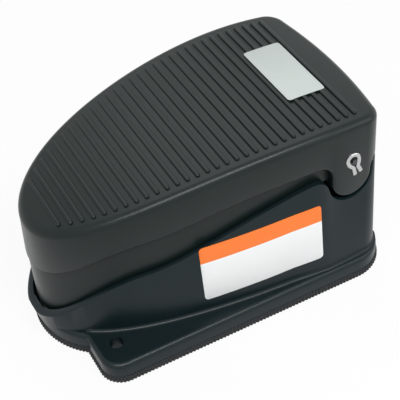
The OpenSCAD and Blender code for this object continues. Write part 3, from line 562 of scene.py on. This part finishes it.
def makeFlange():
    inset, edgeR, top = plinth["padLip"], plinth["edgeR"], plinth["flangeT"]
    rings = [plinthRing(inset, 0), plinthRing(inset, top - edgeR)]
    for step in (20, 40, 60, 80):
        turn = math.radians(step)
        rings.append(plinthRing(inset + edgeR * (1 - math.cos(turn)), top - edgeR * (1 - math.sin(turn))))
    rings.append(plinthRing(inset + edgeR, top))
    flange, loops = loftRings("flange", rings)
    fillLoop(flange, loops[0])
    fillLoop(flange, loops[-1])
    outwards(flange)
    cutAway(flange, makeBlock("recess", housing["recessIn"], -1, plinth["plateT"]))
    cutAway(flange, makeBlock("inside", housing["hollowIn"], -1, housing["hollowTop"]))
    for holeY in (-plinth["holeY"], plinth["holeY"]):
        cutAway(flange, rod("hole", spot(plinth["holeX"], holeY, -2), spot(plinth["holeX"], holeY, 12),
                            plinth["holeR"]))
    return flange


def makeHousing():
    wall = makeWall()
    flange = makeFlange()
    outX, sides = housing["inletX"], housing["inletSides"]
    inX = outX - housing["inletL"]
    collar = rod("collar", spot(inX, 0, housing["inletZ"]), spot(outX, 0, housing["inletZ"]),
                 housing["inletR"], sides, housing["inletEdge"])
    bore = rod("bore", spot(inX - housing["boreOver"], 0, housing["inletZ"]),
               spot(outX + housing["boreOver"], 0, housing["inletZ"]), housing["boreR"], sides)
    pick(bore)
    bpy.ops.object.duplicate()
    cutAway(wall, bpy.context.object)
    cutAway(collar, bore)
    whole = joinAll([wall, flange, collar], "baseHousing")
    smoothEdges(whole, 32)
    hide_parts("base_housing")
    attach(whole, "base")
    return whole


baseHousing = makeHousing()
print("housing:", len(baseHousing.data.polygons), "faces")

# Rubber pad with a finely serrated edge, and a hole under each screw
pad = {"toothPitch": 1.5, "toothDepth": 0.5, "low": -3.0, "chamfer": 0.35, "accessR": 4.7, "arcSteps": 40,
       "middleX": 67.5, "edgeScale": 0.994}
screwPlaces = [(32.0, 23.8), (78.0, 33.3), (118.1, 25.0)]


# Four points to a tooth: tip, flank, root and flank
def serratedOutline():
    half = plinthHalf(0, pad["arcSteps"])
    trail = half + [(x, -y) for x, y in reversed(half[1:])]
    trail.append(trail[0])
    lengths = [0.0]
    for before, after in zip(trail, trail[1:]):
        lengths.append(lengths[-1] + math.dist(before, after))
    teeth = round(lengths[-1] / pad["toothPitch"])
    points = []
    for k in range(4 * teeth):
        far = lengths[-1] * k / (4 * teeth)
        i = bisect.bisect_right(lengths, far) - 1
        past = far - lengths[i]
        run, rise = direction(trail[i], trail[i + 1])
        drawn = (0, 0.5, 1, 0.5)[k % 4] * pad["toothDepth"]
        points.append((trail[i][0] + run * past + rise * drawn, trail[i][1] + rise * past - run * drawn))
    return points


def makePad():
    points, middle = serratedOutline(), pad["middleX"]
    layers = ((pad["edgeScale"], pad["low"]), (1, pad["low"] + pad["chamfer"]), (1, -pad["chamfer"]),
              (pad["edgeScale"], 0))
    rings = [[spot(middle + (x - middle) * scale, y * scale, z) for x, y in points] for scale, z in layers]
    slab, loops = loftRings("rubberPad", rings)
    fillLoop(slab, loops[0])
    fillLoop(slab, loops[-1])
    outwards(slab)
    holes = [(plinth["holeX"], plinth["holeY"], plinth["holeR"])]
    holes += [(x, y, pad["accessR"]) for x, y in screwPlaces]
    for x, y, radius in holes:
        for across in (-y, y):
            cutAway(slab, rod("hole", spot(x, across, -5), spot(x, across, 2), radius))
    smoothEdges(slab, 25)
    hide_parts("rubber_pad")
    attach(slab, "base")
    return slab


rubberPad = makePad()
print("rubber pad:", len(rubberPad.data.polygons), "faces")

# Bare label plates, cut across into strips so that they follow the surface below
topPlate = {"x": (104.2, 120.2), "y": (-17.3, 17.3), "thick": 0.3, "cornerR": 1.2, "strips": 8, "sink": 0.05}
sidePlate = {"x": (54.2, 104.2), "z": (13.5, 42.0), "thick": 0.25, "cornerR": 1.6, "strips": 24, "sink": 0.02,
             "bandShare": 0.29, "tilt": math.radians(1.9)}
plateEdge = 0.08
sideMiddle = (sum(sidePlate["x"]) / 2, sum(sidePlate["z"]) / 2)


def makePlate(name, sizes, tall, warp):
    wide = sizes["x"]
    bpy.ops.object.select_all(action="DESELECT")
    bpy.ops.mesh.primitive_plane_add(size=1)
    plate = title(bpy.context.object, name)
    plate.scale = (wide[1] - wide[0], tall[1] - tall[0], 1)
    plate.location = ((wide[0] + wide[1]) / 2, (tall[0] + tall[1]) / 2, 0)
    settle(plate)
    bpy.ops.object.mode_set(mode="EDIT")
    bpy.ops.mesh.select_all(action="SELECT")
    bpy.ops.mesh.bevel(affect="VERTICES", offset=sizes["cornerR"], segments=5)
    bpy.ops.mesh.select_all(action="SELECT")
    bpy.ops.mesh.extrude_region_move(TRANSFORM_OT_translate={"value": (0, 0, sizes["thick"])})
    for k in range(1, sizes["strips"]):
        bpy.ops.mesh.select_all(action="SELECT")
        bpy.ops.mesh.bisect(plane_co=(wide[0] + (wide[1] - wide[0]) * k / sizes["strips"], 0, 0),
                            plane_no=(1, 0, 0))
    bpy.ops.object.mode_set(mode="OBJECT")
    outwards(plate)
    bevelEdges(plate, plateEdge, 2)
    for vertex in plate.data.vertices:
        vertex.co = warp(*vertex.co)
    return plate


def wallInset(x, z):
    foot = plinth["flangeT"] + housing["footR"]
    risen = (z - foot) / (heightOn(rimCurve, x) - housing["rimEdge"] - foot)
    stand = housing["footFlush"] + (housing["flush"] - housing["footFlush"]) * clamp(risen)
    return housing["inset"] - stand * flushShare(x, halfWidth(x))


# The side plate is stuck on a little askew, its rear end higher
def tilted(x, z):
    run, rise, lean = x - sideMiddle[0], z - sideMiddle[1], sidePlate["tilt"]
    return (sideMiddle[0] + run * math.cos(lean) - rise * math.sin(lean),
            sideMiddle[1] + run * math.sin(lean) + rise * math.cos(lean))


def onTread(x, y, up):
    return spot(x, y, treadZ(x) + ribs["height"] - topPlate["sink"] + up)


def onWall(x, z, up):
    x, z = tilted(x, z)
    return spot(x, sidePlate["sink"] - sideY(x, wallInset(x, z)) - up, z)


topLabel = makePlate("topPlate", topPlate, topPlate["y"], onTread)
sideLabel = makePlate("sidePlate", sidePlate, sidePlate["z"], onWall)
for label, body in ((topLabel, "pedal"), (sideLabel, "base")):
    outwards(label)
    smoothEdges(label, 30)
    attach(label, body)
print("label plates")

# Retaining clips: a flat strip is led round a loop that nearly closes and out into two feet
clip = {"faceY": 40.9, "thick": 0.9, "strip": 1.6, "chamfer": 0.2, "turn": -17.0, "loopR": 2.35,
        "loopUp": 0.8, "leg": [(1.35, -6.8), (1.2, -6.1), (1.07, -4.4), (0.95, -3.5), (1.3, -2.7),
                               (1.85, -1.8), (2.25, -0.6)]}


def makeClips():
    leg = clip["leg"]
    path = leg + bow(0, clip["loopUp"], clip["loopR"], 0, 180, 16) + [(-x, z) for x, z in reversed(leg)]
    half, thick, cut = clip["strip"] / 2, clip["thick"], clip["chamfer"]
    section = [(-half, cut), (-half + cut, 0), (half - cut, 0), (half, cut),
               (half, thick - cut), (half - cut, thick), (-half + cut, thick), (-half, thick - cut)]
    turn = math.radians(clip["turn"])
    rings = []
    for i, (x, z) in enumerate(path):
        run, rise = direction(path[max(i - 1, 0)], path[min(i + 1, len(path) - 1)])
        ring = []
        for across, deep in section:
            px, pz = x + across * rise, z - across * run
            ring.append(spot(side["pinX"] + px * math.cos(turn) + pz * math.sin(turn), deep - clip["faceY"],
                             side["pinZ"] - px * math.sin(turn) + pz * math.cos(turn)))
        rings.append(ring)
    near, loops = loftRings("pinClips", rings)
    fillLoop(near, loops[0])
    fillLoop(near, loops[-1])
    outwards(near)
    bpy.ops.object.duplicate()
    far = bpy.context.object
    bpy.ops.object.mode_set(mode="EDIT")
    bpy.ops.mesh.select_all(action="SELECT")
    bpy.ops.transform.mirror(constraint_axis=(False, True, False), center_override=(0, 0, 0))
    bpy.ops.object.mode_set(mode="OBJECT")
    outwards(far)
    clips = joinAll([near, far], "pinClips")
    smoothEdges(clips, 35)
    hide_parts("pin_clips")
    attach(clips, "pedal")
    return clips


pinClips = makeClips()

# Hinge pin: a dark shaft with a neck for each clip and a small head outside it
pin = {"shaftR": 2.5, "shaftEnd": 39.6, "neckR": 0.9, "neckEnd": 41.1, "headR": 1.1, "headFrom": 41.0,
       "headTo": 41.5, "sides": 32, "bevel": 0.3, "headBevel": 0.18}


def pinPart(name, startY, endY, radius, bevel):
    return rod(name, spot(side["pinX"], startY, side["pinZ"]), spot(side["pinX"], endY, side["pinZ"]), radius,
               pin["sides"], bevel)


def makePin():
    parts = [pinPart("shaft", -end, end, radius, pin["bevel"])
             for radius, end in ((pin["shaftR"], pin["shaftEnd"]), (pin["neckR"], pin["neckEnd"]))]
    parts += [pinPart("head", turn * pin["headFrom"], turn * pin["headTo"], pin["headR"], pin["headBevel"])
              for turn in (-1, 1)]
    whole = smoothEdges(joinAll(parts, "hingePin"), 35)
    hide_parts("hinge_pin")
    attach(whole, "pedal")
    return whole


hingePin = makePin()
print("clips and pin")


# Materials: a wire is one value or colour on its way through a material's nodes
class Wire:
    def __init__(self, tree, socket):
        self.tree = tree
        self.socket = socket

    def feed(self, node, inputs):
        for name, value in inputs.items():
            port = node.inputs[name]
            if isinstance(value, Wire):
                self.tree.links.new(value.socket, port)
            else:
                port.default_value = value

    def add(self, kind, settings=None, inputs=None, output=0):
        node = self.tree.nodes.new(kind)
        for name, value in (settings or {}).items():
            setattr(node, name, value)
        self.feed(node, inputs or {})
        return Wire(self.tree, node.outputs[output])

    def maths(self, operation, first, second):
        return self.add("ShaderNodeMath", {"operation": operation}, {0: first, 1: second})

    def __add__(self, other):
        return self.maths("ADD", self, other)

    def __mul__(self, other):
        return self.maths("MULTIPLY", self, other)

    def __gt__(self, other):
        return self.maths("GREATER_THAN", self, other)

    __radd__ = __add__
    __rmul__ = __mul__


def newFinish(name, **fixed):
    material = bpy.data.materials.new(name)
    material.use_nodes = True
    tree = material.node_tree
    shader = tree.nodes["Principled BSDF"]
    for socket, value in fixed.items():
        shader.inputs[socket].default_value = value
    start = Wire(tree, None)
    position = start.add("ShaderNodeTexCoord", output="Object")
    return material, shader, start, position


# A mix node's colour sockets share their names with others, so they go by number
mixPorts = {"factor": 0, "first": 6, "second": 7, "result": 2}


def mixColours(wire, factor, first, second):
    return wire.add("ShaderNodeMix", {"data_type": "RGBA"},
                    {mixPorts["factor"]: factor, mixPorts["first"]: first, mixPorts["second"]: second},
                    mixPorts["result"])


def noise(wire, position, scale, detail, roughness=0.5):
    return wire.add("ShaderNodeTexNoise", None,
                    {"Vector": position, "Scale": scale, "Detail": detail, "Roughness": roughness})


def bump(wire, strength, depth, height):
    return wire.add("ShaderNodeBump", None, {"Strength": strength, "Distance": depth, "Height": height})


# Moulded plastic: a fine spark-eroded grain, faint flow marks and a slight change of gloss
def mouldedPlastic(name, colour, paler):
    material, shader, start, position = newFinish(name, **{"Specular IOR Level": 0.26})
    cloud = noise(start, position, 60, 4)
    fine = noise(start, position, 5200, 2)
    start.feed(shader, {
        "Base Color": mixColours(start, cloud * 0.7 + fine * 0.3, colour, paler),
        "Roughness": 0.27 + cloud * 0.08,
        "Normal": bump(start, 0.12, 0.0002, fine),
    })
    return material


def rubberFinish(name, colour, paler):
    material, shader, start, position = newFinish(name, **{"Specular IOR Level": 0.35})
    cloud = noise(start, position, 110, 5, 0.6)
    start.feed(shader, {
        "Base Color": mixColours(start, cloud, colour, paler),
        "Roughness": 0.68 + cloud * 0.16,
        "Normal": bump(start, 0.35, 0.0003, noise(start, position, 3800, 2)),
    })
    return material


# Drawn metal: noise packed closer along one axis leaves streaks across that axis
def drawnMetal(name, colour, darker, rough, stretch):
    material, shader, start, position = newFinish(name, Metallic=1.0)
    stretched = start.add("ShaderNodeMapping", None, {"Vector": position, "Scale": stretch})
    lines = noise(start, stretched, 900, 3)
    start.feed(shader, {
        "Base Color": mixColours(start, noise(start, position, 140, 4), colour, darker),
        "Roughness": rough + lines * 0.14,
        "Normal": bump(start, 0.15, 0.0001, lines),
    })
    return material


def nylonFinish(name, colour, paler, rough):
    material, shader, start, position = newFinish(name)
    cloud = noise(start, position, 90, 4)
    start.feed(shader, {
        "Base Color": mixColours(start, cloud, colour, paler),
        "Roughness": rough + cloud * 0.12,
        "Normal": bump(start, 0.1, 0.0002, noise(start, position, 2400, 2)),
    })
    return material


# A plate in one tone, with a band of a second colour above a line where it has one
def labelFinish(name, field, band=None, bandFrom=0.0, slope=0.0):
    material, shader, start, position = newFinish(name)
    tone = noise(start, position, 150, 3)
    dimmed = tuple(0.92 * channel for channel in field[:3]) + (1,)
    colour = mixColours(start, tone * 0.5, field, dimmed)
    if band:
        along, height = (start.add("ShaderNodeSeparateXYZ", None, {"Vector": position}, axis)
                         for axis in "XZ")
        colour = mixColours(start, height + along * -slope > bandFrom, colour, band)
    start.feed(shader, {
        "Base Color": colour,
        "Roughness": 0.32 + tone * 0.12,
        "Normal": bump(start, 0.06, 0.0002, noise(start, position, 900, 2)),
    })
    return material


finishes = {
    "black_plastic": mouldedPlastic("pedalPlastic", (0.004, 0.0095, 0.0088, 1), (0.009, 0.016, 0.0148, 1)),
    "black_plastic_base": mouldedPlastic("basePlastic", (0.002, 0.009, 0.0115, 1),
                                         (0.007, 0.0145, 0.0175, 1)),
    "black_rubber": rubberFinish("blackRubber", (0.014, 0.016, 0.017, 1), (0.026, 0.028, 0.03, 1)),
    "zinc_plated_steel": drawnMetal("zincPlate", (0.62, 0.62, 0.61, 1), (0.48, 0.49, 0.5, 1), 0.22,
                                    (1, 1, 8)),
    "oiled_steel": drawnMetal("oiledSteel", (0.11, 0.11, 0.115, 1), (0.07, 0.07, 0.075, 1), 0.3, (1, 6, 1)),
    "spring_steel": drawnMetal("springWire", (0.38, 0.38, 0.39, 1), (0.28, 0.28, 0.3, 1), 0.28, (1, 1, 5)),
    "brass": drawnMetal("rolledBrass", (0.71, 0.49, 0.17, 1), (0.6, 0.4, 0.13, 1), 0.25, (6, 1, 1)),
    "natural_nylon": nylonFinish("naturalNylon", (0.72, 0.69, 0.6, 1), (0.8, 0.77, 0.69, 1), 0.38),
    "phenolic": nylonFinish("phenolic", (0.05, 0.026, 0.018, 1), (0.075, 0.04, 0.028, 1), 0.3),
    "green_screw": drawnMetal("greenScrew", (0.06, 0.3, 0.1, 1), (0.04, 0.22, 0.07, 1), 0.35, (1, 1, 1)),
}
bandZ = sidePlate["z"][1] - sidePlate["bandShare"] * (sidePlate["z"][1] - sidePlate["z"][0])
bandX, bandZ = tilted(sideMiddle[0], bandZ)
bandSpot, bandSlope = spot(bandX, 0, bandZ), math.tan(sidePlate["tilt"])
plateTop = labelFinish("silverPlate", (0.52, 0.57, 0.55, 1))
plateSide = labelFinish("bandedPlate", (0.85, 0.87, 0.87, 1), (0.9, 0.19, 0.018, 1),
                        bandSpot.z - bandSlope * bandSpot.x, bandSlope)


def dress(piece, material):
    piece.data.materials.clear()
    piece.data.materials.append(material)


for piece, material in ((pedalShell, finishes["black_plastic"]), (treadRibs, finishes["black_plastic"]),
                        (baseHousing, finishes["black_plastic_base"]), (rubberPad, finishes["black_rubber"]),
                        (pinClips, finishes["zinc_plated_steel"]), (hingePin, finishes["oiled_steel"]),
                        (topLabel, plateTop), (sideLabel, plateSide)):
    dress(piece, material)
slotOf = {entry["node"]: entry["material_slot"] for entry in frame["record"]["subparts"]}
for name, node in frame["nodes"].items():
    material = finishes[slotOf[name]]
    if node.material_slots:
        for holder in node.material_slots:
            holder.link = "OBJECT"
            holder.material = material
    else:
        node.data.materials.append(material)
print("materials:", len(finishes) + 2)

# Studio: a pale floor, soft lamps and the photograph's camera
studio = {"turn": -24.44, "lift": 43.37, "roll": 5.25, "distance": 466.8, "aim": (0.5, 0, 35),
          "across": -4.408, "down": 1.135, "lens": 105.57, "sensor": 36.0, "nearest": 0.01,
          "floor": 3.0, "floorZ": -0.0002, "glow": 0.9, "ambient": 0.27, "lampAim": (0, 0, 0.04)}
lamps = {"keyLamp": {"where": (-0.1, -0.45, 0.75), "size": (0.9, 0.15), "power": 6.0},
         "fillLamp": {"where": (0.65, -0.55, 0.4), "size": (0.6, 0.4), "power": 1.5},
         "topLamp": {"where": (0.15, 0.5, 0.8), "size": (0.8, 0.5), "power": 1.5}}


def placeCamera():
    turn, lift, roll = (math.radians(studio[k]) for k in ("turn", "lift", "roll"))
    back = Vector((math.sin(turn) * math.cos(lift), -math.cos(turn) * math.cos(lift), math.sin(lift)))
    right = Vector((math.cos(turn), math.sin(turn), 0))
    up = back.cross(right)
    where = Vector(studio["aim"]) - studio["across"] * right - studio["down"] * up + studio["distance"] * back
    camRight = right * math.cos(roll) - up * math.sin(roll)
    camUp = right * math.sin(roll) + up * math.cos(roll)
    bpy.ops.object.camera_add()
    camera = bpy.context.object
    camera.matrix_world = Matrix((
        (camRight.x, camUp.x, back.x, where.x * place["mm"]),
        (camRight.y, camUp.y, back.y, where.y * place["mm"]),
        (camRight.z, camUp.z, back.z, where.z * place["mm"]),
        (0, 0, 0, 1)))
    camera.data.lens = studio["lens"]
    camera.data.sensor_width = studio["sensor"]
    camera.data.clip_start = studio["nearest"]
    camera.data.dof.use_dof = False
    bpy.context.scene.camera = camera


def placeLamps():
    for name, settings in lamps.items():
        bpy.ops.object.light_add(type="AREA", location=settings["where"])
        lamp = bpy.context.object
        lamp.name = name
        lamp.data.shape = "RECTANGLE"
        lamp.data.size, lamp.data.size_y = settings["size"]
        lamp.data.energy = settings["power"]
        away = Vector(studio["lampAim"]) - Vector(settings["where"])
        lamp.rotation_euler = away.to_track_quat("-Z", "Y").to_euler()


def seenDirectly(start):
    camera, glossy, through = (start.add("ShaderNodeLightPath", output=name) for name in
                               ("Is Camera Ray", "Is Glossy Ray", "Is Transmission Ray"))
    return start.maths("MAXIMUM", camera, start.maths("MAXIMUM", glossy, through))


def paintWorld():
    world = bpy.data.worlds.new("studioWorld")
    world.use_nodes = True
    bpy.context.scene.world = world
    start = Wire(world.node_tree, None)
    strength = studio["ambient"] + seenDirectly(start) * (1 - studio["ambient"])
    start.feed(world.node_tree.nodes["Background"], {"Color": (1, 1, 1, 1), "Strength": strength})


def layFloor():
    bpy.ops.object.select_all(action="DESELECT")
    bpy.ops.mesh.primitive_plane_add(size=studio["floor"], location=(0, 0, studio["floorZ"]))
    floor = settle(title(bpy.context.object, "studioFloor"))
    material = bpy.data.materials.new("floorPaper")
    material.use_nodes = True
    tree = material.node_tree
    start = Wire(tree, None)
    shader = tree.nodes["Principled BSDF"]
    start.feed(shader, {"Base Color": (0.9, 0.9, 0.9, 1), "Roughness": 0.9})
    glow = start.add("ShaderNodeEmission", None, {"Color": (1, 1, 1, 1), "Strength": 1.0})
    blend = start.add("ShaderNodeMixShader", None, {0: seenDirectly(start) * studio["glow"],
                                                    1: Wire(tree, shader.outputs[0]), 2: glow})
    tree.links.new(blend.socket, tree.nodes["Material Output"].inputs["Surface"])
    dress(floor, material)


placeCamera()
placeLamps()
paintWorld()
layFloor()
bpy.context.scene.view_settings.view_transform = "Standard"
bpy.ops.object.select_all(action="DESELECT")
print("studio ready")
